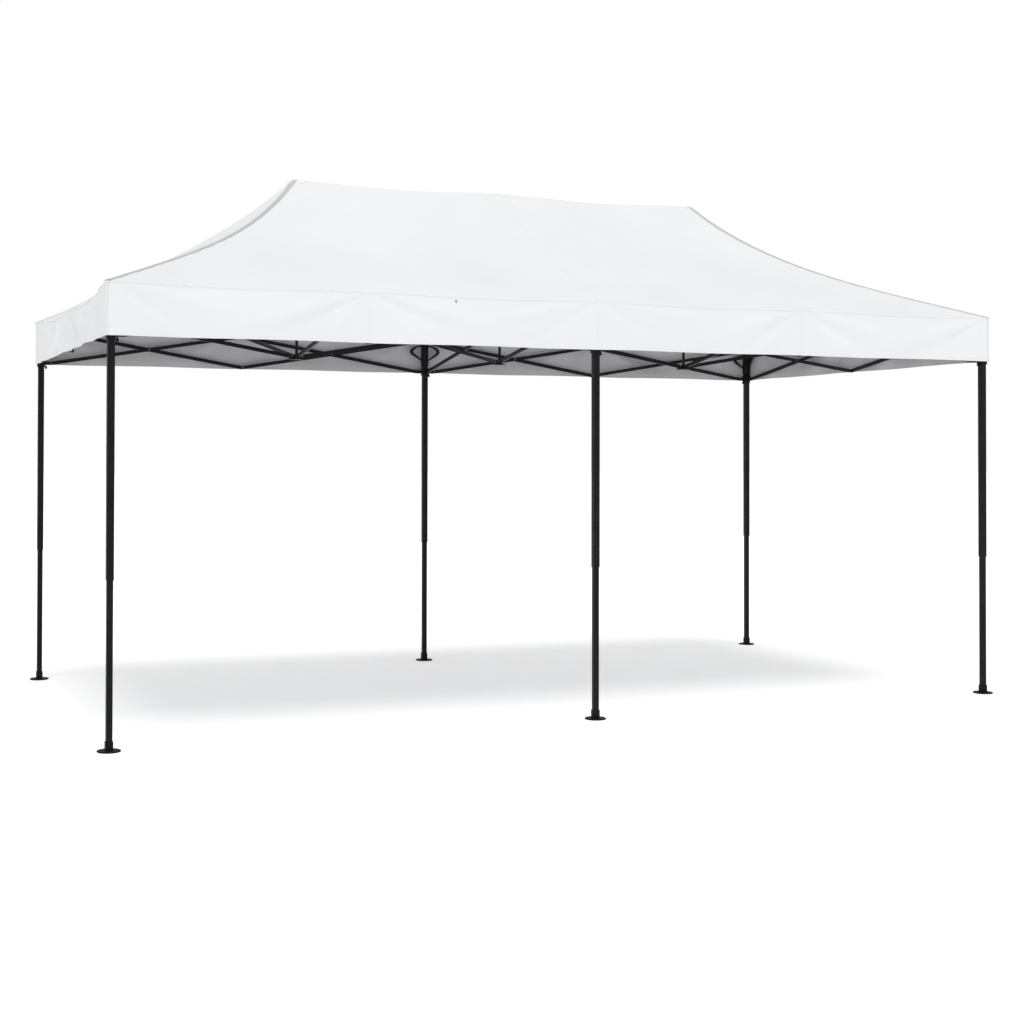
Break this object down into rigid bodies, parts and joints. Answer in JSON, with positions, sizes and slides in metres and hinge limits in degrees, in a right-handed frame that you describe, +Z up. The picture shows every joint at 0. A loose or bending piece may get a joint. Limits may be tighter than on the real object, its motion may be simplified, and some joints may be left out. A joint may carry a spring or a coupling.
{
  "type": "pop up canopy",
  "caption": "Folding pop up canopy with a white hipped fabric cover and valance on a black scissor-truss frame with telescoping legs.",
  "frame": {"origin": "on the ground under the middle of the canopy", "axes": "+X along the long side, +Y from the front long side to the back one, +Z up"},
  "size_m": [5.9798, 3.0548, 3.41],
  "materials": {
    "cover_fabric": "matte woven polyester, off-white",
    "black_frame": "satin black powder coat",
    "black_plastic": "black glass-filled nylon"
  },
  "bodies": {
    "centre_top_hub": {"centre_top_hub": "black_plastic", "canopy_cover": "cover_fabric"},
    "cross_front_bar_a": {"cross_front_bar_a": "black_frame"},
    "cross_front_bar_b": {"cross_front_bar_b": "black_frame"},
    "outer_leg_front_middle": {"outer_leg_front_middle": "black_frame"},
    "slider_front_middle": {"slider_front_middle": "black_plastic"},
    "inner_leg_front_middle": {"inner_leg_front_middle": "black_frame"},
    "front_bay_3_bar_a": {"front_bay_3_bar_a": "black_frame"},
    "front_bay_3_bar_b": {"front_bay_3_bar_b": "black_frame"},
    "front_bay_4_bar_a": {"front_bay_4_bar_a": "black_frame"},
    "front_bay_4_bar_b": {"front_bay_4_bar_b": "black_frame"},
    "outer_leg_front_right": {"outer_leg_front_right": "black_frame"},
    "slider_front_right": {"slider_front_right": "black_plastic"},
    "inner_leg_front_right": {"inner_leg_front_right": "black_frame"},
    "right_bay_1_bar_a": {"right_bay_1_bar_a": "black_frame"},
    "right_bay_1_bar_b": {"right_bay_1_bar_b": "black_frame"},
    "front_bay_2_bar_b": {"front_bay_2_bar_b": "black_frame"},
    "front_bay_2_bar_a": {"front_bay_2_bar_a": "black_frame"},
    "front_bay_1_bar_b": {"front_bay_1_bar_b": "black_frame"},
    "front_bay_1_bar_a": {"front_bay_1_bar_a": "black_frame"},
    "outer_leg_front_left": {"outer_leg_front_left": "black_frame"},
    "slider_front_left": {"slider_front_left": "black_plastic"},
    "inner_leg_front_left": {"inner_leg_front_left": "black_frame"},
    "left_bay_1_bar_a": {"left_bay_1_bar_a": "black_frame"},
    "left_bay_1_bar_b": {"left_bay_1_bar_b": "black_frame"},
    "cross_back_bar_a": {"cross_back_bar_a": "black_frame"},
    "cross_back_bar_b": {"cross_back_bar_b": "black_frame"},
    "outer_leg_back_middle": {"outer_leg_back_middle": "black_frame"},
    "slider_back_middle": {"slider_back_middle": "black_plastic"},
    "inner_leg_back_middle": {"inner_leg_back_middle": "black_frame"},
    "back_bay_3_bar_a": {"back_bay_3_bar_a": "black_frame"},
    "back_bay_3_bar_b": {"back_bay_3_bar_b": "black_frame"},
    "back_bay_4_bar_a": {"back_bay_4_bar_a": "black_frame"},
    "back_bay_4_bar_b": {"back_bay_4_bar_b": "black_frame"},
    "outer_leg_back_right": {"outer_leg_back_right": "black_frame"},
    "slider_back_right": {"slider_back_right": "black_plastic"},
    "inner_leg_back_right": {"inner_leg_back_right": "black_frame"},
    "right_bay_2_bar_b": {"right_bay_2_bar_b": "black_frame"},
    "right_bay_2_bar_a": {"right_bay_2_bar_a": "black_frame"},
    "back_bay_2_bar_b": {"back_bay_2_bar_b": "black_frame"},
    "back_bay_2_bar_a": {"back_bay_2_bar_a": "black_frame"},
    "back_bay_1_bar_b": {"back_bay_1_bar_b": "black_frame"},
    "back_bay_1_bar_a": {"back_bay_1_bar_a": "black_frame"},
    "outer_leg_back_left": {"outer_leg_back_left": "black_frame"},
    "slider_back_left": {"slider_back_left": "black_plastic"},
    "inner_leg_back_left": {"inner_leg_back_left": "black_frame"},
    "left_bay_2_bar_b": {"left_bay_2_bar_b": "black_frame"},
    "left_bay_2_bar_a": {"left_bay_2_bar_a": "black_frame"},
    "centre_lower_hub": {"centre_lower_hub": "black_plastic"},
    "arm_left_centre": {"arm_left_centre": "black_frame"},
    "left_hub": {"left_hub": "black_plastic"},
    "arm_left_end": {"arm_left_end": "black_frame"},
    "arm_left_front": {"arm_left_front": "black_frame"},
    "arm_left_back": {"arm_left_back": "black_frame"},
    "arm_right_centre": {"arm_right_centre": "black_frame"},
    "right_hub": {"right_hub": "black_plastic"},
    "arm_right_end": {"arm_right_end": "black_frame"},
    "arm_right_front": {"arm_right_front": "black_frame"},
    "arm_right_back": {"arm_right_back": "black_frame"}
  },
  "joints": [
    {"name": "fold", "type": "hinge", "parent": "centre_top_hub", "child": "cross_front_bar_a", "pos_m": [0, -0.028, 2.48], "axis": [1, 0, 0], "range_deg": [0, 76.5]},
    {"name": "cross_front_crossing", "type": "hinge", "parent": "cross_front_bar_a", "child": "cross_front_bar_b", "pos_m": [0, -0.72425, 2.364], "axis": [1, 0, 0], "range_deg": [-153, 0]},
    {"name": "front_middle_leg_pivot", "type": "hinge", "parent": "cross_front_bar_b", "child": "outer_leg_front_middle", "pos_m": [0, -1.4205, 2.48], "axis": [1, 0, 0], "range_deg": [0, 76.5]},
    {"name": "front_middle_slider_pivot", "type": "hinge", "parent": "cross_front_bar_a", "child": "slider_front_middle", "pos_m": [0, -1.4205, 2.248], "axis": [1, 0, 0], "range_deg": [-76.5, 0]},
    {"name": "front_bay_3_leg_pivot", "type": "hinge", "parent": "outer_leg_front_middle", "child": "front_bay_3_bar_a", "pos_m": [0.07, -1.4625, 2.48], "axis": [0, 1, 0], "range_deg": [0, 76.5]},
    {"name": "front_bay_3_crossing", "type": "hinge", "parent": "front_bay_3_bar_a", "child": "front_bay_3_bar_b", "pos_m": [0.76625, -1.4625, 2.364], "axis": [0, 1, 0], "range_deg": [-153, 0]},
    {"name": "front_bays_3_4_joint", "type": "hinge", "parent": "front_bay_3_bar_b", "child": "front_bay_4_bar_a", "pos_m": [1.4625, -1.4625, 2.48], "axis": [0, 1, 0], "range_deg": [0, 153]},
    {"name": "front_bay_4_crossing", "type": "hinge", "parent": "front_bay_4_bar_a", "child": "front_bay_4_bar_b", "pos_m": [2.15875, -1.4625, 2.364], "axis": [0, 1, 0], "range_deg": [-153, 0]},
    {"name": "front_right_leg_pivot", "type": "hinge", "parent": "front_bay_4_bar_b", "child": "outer_leg_front_right", "pos_m": [2.855, -1.4625, 2.48], "axis": [0, 1, 0], "range_deg": [0, 76.5]},
    {"name": "front_right_slider_pivot", "type": "hinge", "parent": "front_bay_4_bar_a", "child": "slider_front_right", "pos_m": [2.855, -1.4625, 2.248], "axis": [0, 1, 0], "range_deg": [-76.5, 0]},
    {"name": "right_bay_1_leg_pivot", "type": "hinge", "parent": "outer_leg_front_right", "child": "right_bay_1_bar_a", "pos_m": [2.925, -1.3925, 2.48], "axis": [1, 0, 0], "range_deg": [-76.5, 0]},
    {"name": "right_bay_1_crossing", "type": "hinge", "parent": "right_bay_1_bar_a", "child": "right_bay_1_bar_b", "pos_m": [2.925, -0.69625, 2.364], "axis": [1, 0, 0], "range_deg": [0, 153]},
    {"name": "front_bay_2_leg_pivot", "type": "hinge", "parent": "outer_leg_front_middle", "child": "front_bay_2_bar_b", "pos_m": [-0.07, -1.4625, 2.48], "axis": [0, 1, 0], "range_deg": [-76.5, 0]},
    {"name": "front_bay_2_crossing", "type": "hinge", "parent": "front_bay_2_bar_b", "child": "front_bay_2_bar_a", "pos_m": [-0.76625, -1.4625, 2.364], "axis": [0, 1, 0], "range_deg": [0, 153]},
    {"name": "front_bays_1_2_joint", "type": "hinge", "parent": "front_bay_2_bar_a", "child": "front_bay_1_bar_b", "pos_m": [-1.4625, -1.4625, 2.48], "axis": [0, 1, 0], "range_deg": [-153, 0]},
    {"name": "front_bay_1_crossing", "type": "hinge", "parent": "front_bay_1_bar_b", "child": "front_bay_1_bar_a", "pos_m": [-2.15875, -1.4625, 2.364], "axis": [0, 1, 0], "range_deg": [0, 153]},
    {"name": "front_left_leg_pivot", "type": "hinge", "parent": "front_bay_1_bar_a", "child": "outer_leg_front_left", "pos_m": [-2.855, -1.4625, 2.48], "axis": [0, 1, 0], "range_deg": [-76.5, 0]},
    {"name": "front_left_slider_pivot", "type": "hinge", "parent": "front_bay_1_bar_b", "child": "slider_front_left", "pos_m": [-2.855, -1.4625, 2.248], "axis": [0, 1, 0], "range_deg": [0, 76.5]},
    {"name": "left_bay_1_leg_pivot", "type": "hinge", "parent": "outer_leg_front_left", "child": "left_bay_1_bar_a", "pos_m": [-2.925, -1.3925, 2.48], "axis": [1, 0, 0], "range_deg": [-76.5, 0]},
    {"name": "left_bay_1_crossing", "type": "hinge", "parent": "left_bay_1_bar_a", "child": "left_bay_1_bar_b", "pos_m": [-2.925, -0.69625, 2.364], "axis": [1, 0, 0], "range_deg": [0, 153]},
    {"name": "cross_back_a_pivot", "type": "hinge", "parent": "centre_top_hub", "child": "cross_back_bar_a", "pos_m": [0, 0.028, 2.48], "axis": [1, 0, 0], "range_deg": [-76.5, 0]},
    {"name": "cross_back_crossing", "type": "hinge", "parent": "cross_back_bar_a", "child": "cross_back_bar_b", "pos_m": [0, 0.72425, 2.364], "axis": [1, 0, 0], "range_deg": [0, 153]},
    {"name": "back_middle_leg_pivot", "type": "hinge", "parent": "cross_back_bar_b", "child": "outer_leg_back_middle", "pos_m": [0, 1.4205, 2.48], "axis": [1, 0, 0], "range_deg": [-76.5, 0]},
    {"name": "back_middle_slider_pivot", "type": "hinge", "parent": "cross_back_bar_a", "child": "slider_back_middle", "pos_m": [0, 1.4205, 2.248], "axis": [1, 0, 0], "range_deg": [0, 76.5]},
    {"name": "back_bay_3_leg_pivot", "type": "hinge", "parent": "outer_leg_back_middle", "child": "back_bay_3_bar_a", "pos_m": [0.07, 1.4625, 2.48], "axis": [0, 1, 0], "range_deg": [0, 76.5]},
    {"name": "back_bay_3_crossing", "type": "hinge", "parent": "back_bay_3_bar_a", "child": "back_bay_3_bar_b", "pos_m": [0.76625, 1.4625, 2.364], "axis": [0, 1, 0], "range_deg": [-153, 0]},
    {"name": "back_bays_3_4_joint", "type": "hinge", "parent": "back_bay_3_bar_b", "child": "back_bay_4_bar_a", "pos_m": [1.4625, 1.4625, 2.48], "axis": [0, 1, 0], "range_deg": [0, 153]},
    {"name": "back_bay_4_crossing", "type": "hinge", "parent": "back_bay_4_bar_a", "child": "back_bay_4_bar_b", "pos_m": [2.15875, 1.4625, 2.364], "axis": [0, 1, 0], "range_deg": [-153, 0]},
    {"name": "back_right_leg_pivot", "type": "hinge", "parent": "back_bay_4_bar_b", "child": "outer_leg_back_right", "pos_m": [2.855, 1.4625, 2.48], "axis": [0, 1, 0], "range_deg": [0, 76.5]},
    {"name": "back_right_slider_pivot", "type": "hinge", "parent": "back_bay_4_bar_a", "child": "slider_back_right", "pos_m": [2.855, 1.4625, 2.248], "axis": [0, 1, 0], "range_deg": [-76.5, 0]},
    {"name": "right_bay_2_leg_pivot", "type": "hinge", "parent": "outer_leg_back_right", "child": "right_bay_2_bar_b", "pos_m": [2.925, 1.3925, 2.48], "axis": [1, 0, 0], "range_deg": [0, 76.5]},
    {"name": "right_bay_2_crossing", "type": "hinge", "parent": "right_bay_2_bar_b", "child": "right_bay_2_bar_a", "pos_m": [2.925, 0.69625, 2.364], "axis": [1, 0, 0], "range_deg": [-153, 0]},
    {"name": "back_bay_2_leg_pivot", "type": "hinge", "parent": "outer_leg_back_middle", "child": "back_bay_2_bar_b", "pos_m": [-0.07, 1.4625, 2.48], "axis": [0, 1, 0], "range_deg": [-76.5, 0]},
    {"name": "back_bay_2_crossing", "type": "hinge", "parent": "back_bay_2_bar_b", "child": "back_bay_2_bar_a", "pos_m": [-0.76625, 1.4625, 2.364], "axis": [0, 1, 0], "range_deg": [0, 153]},
    {"name": "back_bays_1_2_joint", "type": "hinge", "parent": "back_bay_2_bar_a", "child": "back_bay_1_bar_b", "pos_m": [-1.4625, 1.4625, 2.48], "axis": [0, 1, 0], "range_deg": [-153, 0]},
    {"name": "back_bay_1_crossing", "type": "hinge", "parent": "back_bay_1_bar_b", "child": "back_bay_1_bar_a", "pos_m": [-2.15875, 1.4625, 2.364], "axis": [0, 1, 0], "range_deg": [0, 153]},
    {"name": "back_left_leg_pivot", "type": "hinge", "parent": "back_bay_1_bar_a", "child": "outer_leg_back_left", "pos_m": [-2.855, 1.4625, 2.48], "axis": [0, 1, 0], "range_deg": [-76.5, 0]},
    {"name": "back_left_slider_pivot", "type": "hinge", "parent": "back_bay_1_bar_b", "child": "slider_back_left", "pos_m": [-2.855, 1.4625, 2.248], "axis": [0, 1, 0], "range_deg": [0, 76.5]},
    {"name": "left_bay_2_leg_pivot", "type": "hinge", "parent": "outer_leg_back_left", "child": "left_bay_2_bar_b", "pos_m": [-2.925, 1.3925, 2.48], "axis": [1, 0, 0], "range_deg": [0, 76.5]},
    {"name": "left_bay_2_crossing", "type": "hinge", "parent": "left_bay_2_bar_b", "child": "left_bay_2_bar_a", "pos_m": [-2.925, 0.69625, 2.364], "axis": [1, 0, 0], "range_deg": [-153, 0]},
    {"name": "centre_lower_hub_pivot", "type": "hinge", "parent": "cross_front_bar_b", "child": "centre_lower_hub", "pos_m": [0, -0.028, 2.248], "axis": [1, 0, 0], "range_deg": [0, 76.5]},
    {"name": "left_centre_arm_pivot", "type": "hinge", "parent": "centre_top_hub", "child": "arm_left_centre", "pos_m": [-0.034, 0, 2.48], "axis": [0, 1, 0], "range_deg": [-76.5, 0]},
    {"name": "left_hub_pivot", "type": "hinge", "parent": "arm_left_centre", "child": "left_hub", "pos_m": [-1.4265, 0, 2.248], "axis": [0, 1, 0], "range_deg": [0, 76.5]},
    {"name": "left_end_arm_pivot", "type": "hinge", "parent": "left_hub", "child": "arm_left_end", "pos_m": [-1.4985, 0, 2.248], "axis": [0, 1, 0], "range_deg": [0, 76.5]},
    {"name": "left_front_arm_pivot", "type": "hinge", "parent": "left_hub", "child": "arm_left_front", "pos_m": [-1.4625, -0.036, 2.248], "axis": [1, 0, 0], "range_deg": [-76.5, 0]},
    {"name": "left_back_arm_pivot", "type": "hinge", "parent": "left_hub", "child": "arm_left_back", "pos_m": [-1.4625, 0.036, 2.248], "axis": [1, 0, 0], "range_deg": [0, 76.5]},
    {"name": "right_centre_arm_pivot", "type": "hinge", "parent": "centre_top_hub", "child": "arm_right_centre", "pos_m": [0.034, 0, 2.48], "axis": [0, 1, 0], "range_deg": [0, 76.5]},
    {"name": "right_hub_pivot", "type": "hinge", "parent": "arm_right_centre", "child": "right_hub", "pos_m": [1.4265, 0, 2.248], "axis": [0, 1, 0], "range_deg": [-76.5, 0]},
    {"name": "right_end_arm_pivot", "type": "hinge", "parent": "right_hub", "child": "arm_right_end", "pos_m": [1.4985, 0, 2.248], "axis": [0, 1, 0], "range_deg": [-76.5, 0]},
    {"name": "right_front_arm_pivot", "type": "hinge", "parent": "right_hub", "child": "arm_right_front", "pos_m": [1.4625, -0.036, 2.248], "axis": [1, 0, 0], "range_deg": [-76.5, 0]},
    {"name": "right_back_arm_pivot", "type": "hinge", "parent": "right_hub", "child": "arm_right_back", "pos_m": [1.4625, 0.036, 2.248], "axis": [1, 0, 0], "range_deg": [0, 76.5]},
    {"name": "front_left_leg_height", "type": "slide", "parent": "outer_leg_front_left", "child": "inner_leg_front_left", "axis": [0, 0, 1], "range_m": [0, 0.86]},
    {"name": "front_middle_leg_height", "type": "slide", "parent": "outer_leg_front_middle", "child": "inner_leg_front_middle", "axis": [0, 0, 1], "range_m": [0, 0.86]},
    {"name": "front_right_leg_height", "type": "slide", "parent": "outer_leg_front_right", "child": "inner_leg_front_right", "axis": [0, 0, 1], "range_m": [0, 0.86]},
    {"name": "back_left_leg_height", "type": "slide", "parent": "outer_leg_back_left", "child": "inner_leg_back_left", "axis": [0, 0, 1], "range_m": [0, 0.86]},
    {"name": "back_middle_leg_height", "type": "slide", "parent": "outer_leg_back_middle", "child": "inner_leg_back_middle", "axis": [0, 0, 1], "range_m": [0, 0.86]},
    {"name": "back_right_leg_height", "type": "slide", "parent": "outer_leg_back_right", "child": "inner_leg_back_right", "axis": [0, 0, 1], "range_m": [0, 0.86]}
  ],
  "couplings": [
    {"joint": "cross_front_crossing", "follows": "fold", "ratio": -2},
    {"joint": "front_middle_leg_pivot", "follows": "fold", "ratio": 1},
    {"joint": "front_middle_slider_pivot", "follows": "fold", "ratio": -1},
    {"joint": "front_bay_3_leg_pivot", "follows": "fold", "ratio": 1},
    {"joint": "front_bay_3_crossing", "follows": "fold", "ratio": -2},
    {"joint": "front_bays_3_4_joint", "follows": "fold", "ratio": 2},
    {"joint": "front_bay_4_crossing", "follows": "fold", "ratio": -2},
    {"joint": "front_right_leg_pivot", "follows": "fold", "ratio": 1},
    {"joint": "front_right_slider_pivot", "follows": "fold", "ratio": -1},
    {"joint": "right_bay_1_leg_pivot", "follows": "fold", "ratio": -1},
    {"joint": "right_bay_1_crossing", "follows": "fold", "ratio": 2},
    {"joint": "front_bay_2_leg_pivot", "follows": "fold", "ratio": -1},
    {"joint": "front_bay_2_crossing", "follows": "fold", "ratio": 2},
    {"joint": "front_bays_1_2_joint", "follows": "fold", "ratio": -2},
    {"joint": "front_bay_1_crossing", "follows": "fold", "ratio": 2},
    {"joint": "front_left_leg_pivot", "follows": "fold", "ratio": -1},
    {"joint": "front_left_slider_pivot", "follows": "fold", "ratio": 1},
    {"joint": "left_bay_1_leg_pivot", "follows": "fold", "ratio": -1},
    {"joint": "left_bay_1_crossing", "follows": "fold", "ratio": 2},
    {"joint": "cross_back_a_pivot", "follows": "fold", "ratio": -1},
    {"joint": "cross_back_crossing", "follows": "fold", "ratio": 2},
    {"joint": "back_middle_leg_pivot", "follows": "fold", "ratio": -1},
    {"joint": "back_middle_slider_pivot", "follows": "fold", "ratio": 1},
    {"joint": "back_bay_3_leg_pivot", "follows": "fold", "ratio": 1},
    {"joint": "back_bay_3_crossing", "follows": "fold", "ratio": -2},
    {"joint": "back_bays_3_4_joint", "follows": "fold", "ratio": 2},
    {"joint": "back_bay_4_crossing", "follows": "fold", "ratio": -2},
    {"joint": "back_right_leg_pivot", "follows": "fold", "ratio": 1},
    {"joint": "back_right_slider_pivot", "follows": "fold", "ratio": -1},
    {"joint": "right_bay_2_leg_pivot", "follows": "fold", "ratio": 1},
    {"joint": "right_bay_2_crossing", "follows": "fold", "ratio": -2},
    {"joint": "back_bay_2_leg_pivot", "follows": "fold", "ratio": -1},
    {"joint": "back_bay_2_crossing", "follows": "fold", "ratio": 2},
    {"joint": "back_bays_1_2_joint", "follows": "fold", "ratio": -2},
    {"joint": "back_bay_1_crossing", "follows": "fold", "ratio": 2},
    {"joint": "back_left_leg_pivot", "follows": "fold", "ratio": -1},
    {"joint": "back_left_slider_pivot", "follows": "fold", "ratio": 1},
    {"joint": "left_bay_2_leg_pivot", "follows": "fold", "ratio": 1},
    {"joint": "left_bay_2_crossing", "follows": "fold", "ratio": -2},
    {"joint": "centre_lower_hub_pivot", "follows": "fold", "ratio": 1},
    {"joint": "left_centre_arm_pivot", "follows": "fold", "ratio": -1},
    {"joint": "left_hub_pivot", "follows": "fold", "ratio": 1},
    {"joint": "left_end_arm_pivot", "follows": "fold", "ratio": 1},
    {"joint": "left_front_arm_pivot", "follows": "fold", "ratio": -1},
    {"joint": "left_back_arm_pivot", "follows": "fold", "ratio": 1},
    {"joint": "right_centre_arm_pivot", "follows": "fold", "ratio": 1},
    {"joint": "right_hub_pivot", "follows": "fold", "ratio": -1},
    {"joint": "right_end_arm_pivot", "follows": "fold", "ratio": -1},
    {"joint": "right_front_arm_pivot", "follows": "fold", "ratio": -1},
    {"joint": "right_back_arm_pivot", "follows": "fold", "ratio": 1}
  ]
}
